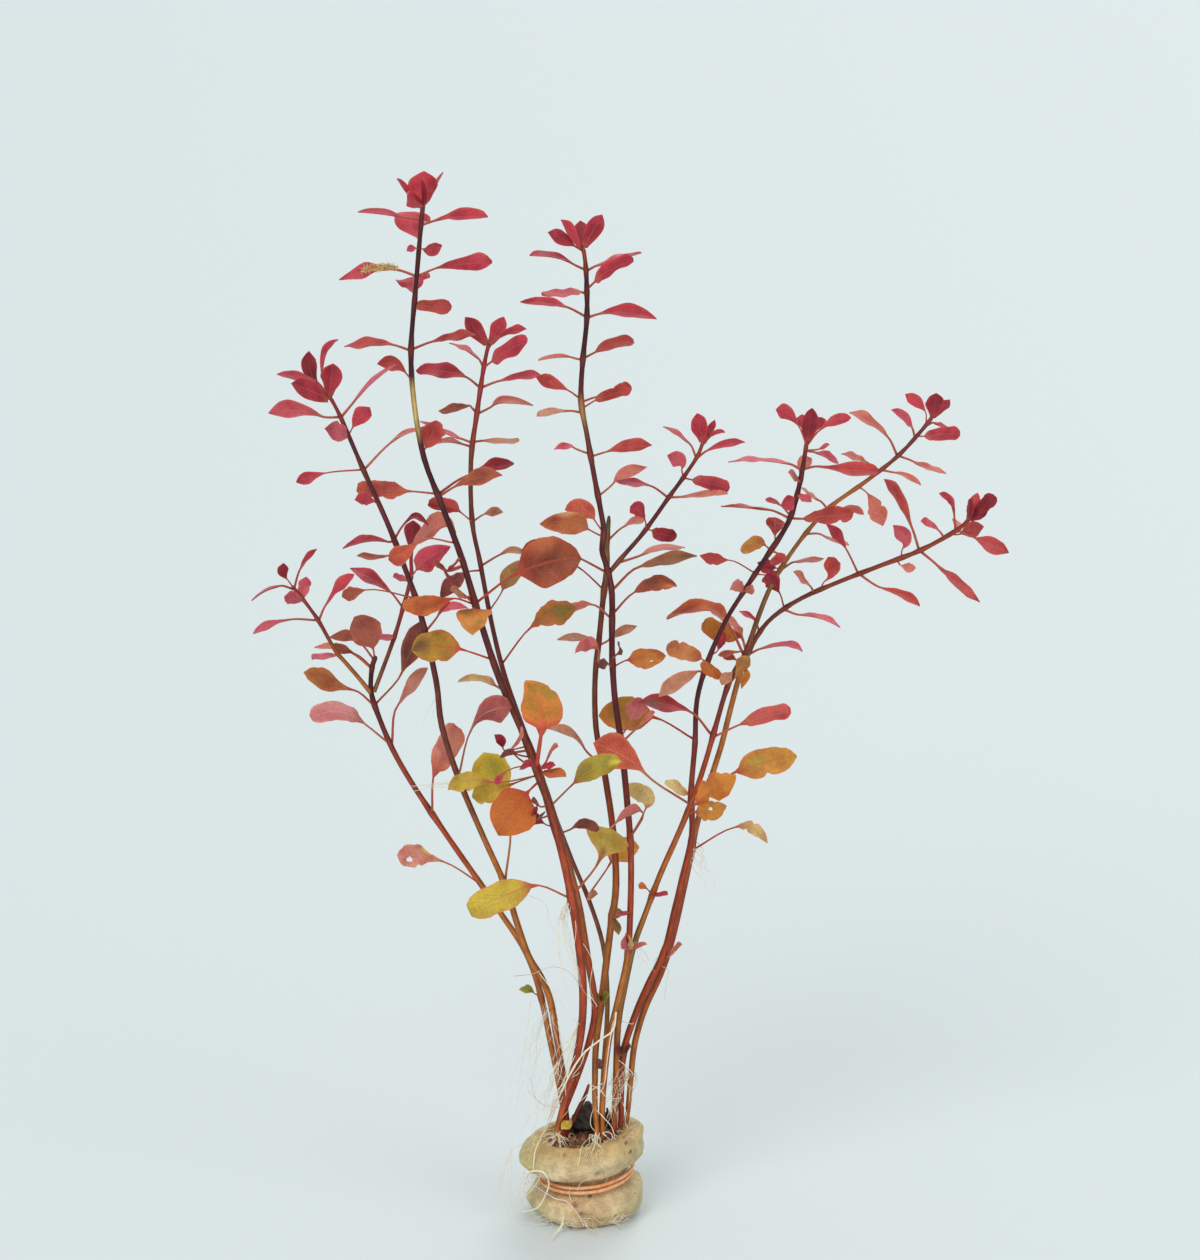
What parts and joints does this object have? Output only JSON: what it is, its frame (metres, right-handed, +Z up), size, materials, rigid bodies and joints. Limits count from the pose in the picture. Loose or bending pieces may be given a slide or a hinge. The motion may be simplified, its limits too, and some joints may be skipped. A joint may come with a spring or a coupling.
{
  "type": "bunched aquarium stem plant",
  "caption": "Bunch of slender reddish stems with opposite pointed leaves and loose roots, held at the foot by a foam plug and a rubber band.",
  "frame": {"origin": "centre of the foam plug's underside, on the surface that the bunch stands on", "axes": "+Z up along the stems, -Y the front of the bunch as it was seen, +X to its right"},
  "size_m": [0.1715, 0.0474, 0.2565],
  "materials": {
    "foam": "wet open-cell foam, beige with olive edges",
    "band": "satin orange rubber",
    "clump": "dark, wet and rough",
    "sprout": "crimson, satin",
    "stem": "dark red-brown, satin, brick red low down",
    "root": "cream, satin",
    "leaf_red": "crimson to salmon, satin",
    "leaf_orange": "orange to gold, satin",
    "leaf_yellow": "yellow to olive, satin",
    "leaf_brown": "brown, satin"
  },
  "bodies": {
    "root": {"foam_plug": "foam", "rubber_band": "band", "dark_clump": "clump", "red_sprout": "sprout", "tallest_stem": "stem", "second_stem": "stem", "left_stem": "stem", "outer_left_stem": "stem", "outer_left_branch": "stem", "inner_left_branch": "stem", "thin_stem": "stem", "cut_stem": "stem", "centre_stem": "stem", "centre_branch": "stem", "crossing_stem": "stem", "right_stem": "stem", "far_right_stem": "stem", "root_arch": "root", "root_hanging": "root", "root_left": "root", "root_loop": "root", "root_foot": "root", "leaf_slit_red": "leaf_red", "leaf_bronze": "leaf_red", "leaf_salmon": "leaf_red", "leaf_brown_broad": "leaf_brown", "leaf_heart": "leaf_orange", "leaf_orange_left": "leaf_orange", "leaf_olive_left": "leaf_yellow", "leaf_upright_orange": "leaf_orange", "leaf_rust": "leaf_orange", "leaf_yellow_green": "leaf_yellow", "leaf_low_left": "leaf_yellow", "leaf_low_centre": "leaf_yellow", "leaf_tan_olive": "leaf_yellow", "leaf_olive_orange": "leaf_yellow", "leaf_mauve": "leaf_red", "leaf_yellow_broad": "leaf_yellow", "leaf_far_left": "leaf_orange", "leaf_dark_brown": "leaf_brown", "leaf_pale_pink": "leaf_red", "leaf_pink_brown": "leaf_red", "leaf_over_stem": "leaf_red", "leaf_holed": "leaf_red", "leaf_behind_centre": "leaf_orange", "leaf_olive_right": "leaf_yellow", "leaf_bronze_right": "leaf_brown", "leaf_orange_right": "leaf_orange", "leaf_pale_yellow": "leaf_yellow", "leaf_ragged_gold": "leaf_orange", "leaf_gold_lobe": "leaf_orange", "leaf_red_right": "leaf_red", "leaf_dark_crimson": "leaf_red", "leaf_tan": "leaf_orange", "leaf_orange_oval": "leaf_orange", "leaf_red_orange": "leaf_red", "leaf_low_right": "leaf_orange", "leaf_gold_right": "leaf_orange"}
  },
  "joints": []
}
